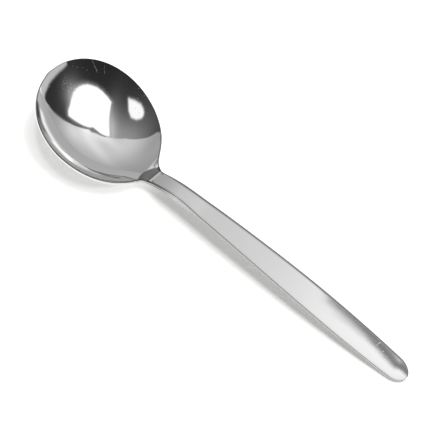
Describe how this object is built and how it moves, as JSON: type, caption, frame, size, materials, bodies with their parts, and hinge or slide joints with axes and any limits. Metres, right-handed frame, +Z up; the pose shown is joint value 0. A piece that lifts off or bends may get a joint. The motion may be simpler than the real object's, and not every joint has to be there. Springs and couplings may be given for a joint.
{
  "type": "soup spoon",
  "caption": "Round-bowled soup spoon pressed from sheet stainless steel, with a slim, nearly flat handle that tapers to a narrow neck and ends in a round tip",
  "frame": {"origin": "middle of the bottom of the box, on the table that the spoon lies on", "axes": "+X along the spoon from the bowl to the end of the handle, +Y across it, +Z up out of the bowl"},
  "size_m": [0.1756, 0.0478, 0.0182],
  "materials": {
    "steel": "polished to a mirror all over, with a few hair scratches from use"
  },
  "bodies": {
    "root": {"spoon": "steel"}
  },
  "joints": []
}
